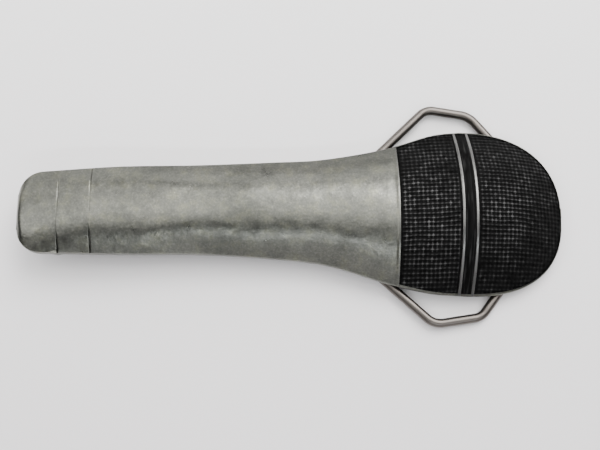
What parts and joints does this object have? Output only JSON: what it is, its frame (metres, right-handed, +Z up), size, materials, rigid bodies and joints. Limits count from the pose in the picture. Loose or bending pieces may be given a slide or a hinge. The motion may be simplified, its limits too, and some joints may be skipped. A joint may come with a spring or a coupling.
{
  "type": "belt buckle",
  "caption": "Cast pewter belt buckle whose face is a half relief of a hand microphone, with a swinging wire bail and a belt stud behind.",
  "frame": {"origin": "centre of the buckle's footprint, on the surface that it lies on, face up", "axes": "+X along the microphone towards its head, +Y across it, +Z up out of its face. The buckle stands on its stud and its bail, so its back rim leans 2.1 degrees, head down."},
  "size_m": [0.1198, 0.0504, 0.013],
  "materials": {
    "pewter": "satin cast pewter, lightly tumbled, fine sparkling grain",
    "black_enamel": "satin black enamel, worn grey on the high spots",
    "plate_steel": "dull plated steel",
    "stud_steel": "turned, dull plated steel",
    "wire_steel": "dark drawn steel wire"
  },
  "bodies": {
    "buckle": {"body_casting": "pewter", "rear_grille_enamel": "black_enamel", "band_enamel": "black_enamel", "front_grille_enamel": "black_enamel", "hinge_plate": "plate_steel", "hinge_rivet_rear": "plate_steel", "hinge_rivet_front": "plate_steel", "belt_stud": "stud_steel"},
    "loop": {"bail": "wire_steel"}
  },
  "joints": [
    {"name": "bail_hinge", "type": "hinge", "parent": "buckle", "child": "loop", "pos_m": [0.01198, 0, 0.00329], "axis": [0, 1, 0], "range_deg": [0, 150]}
  ]
}
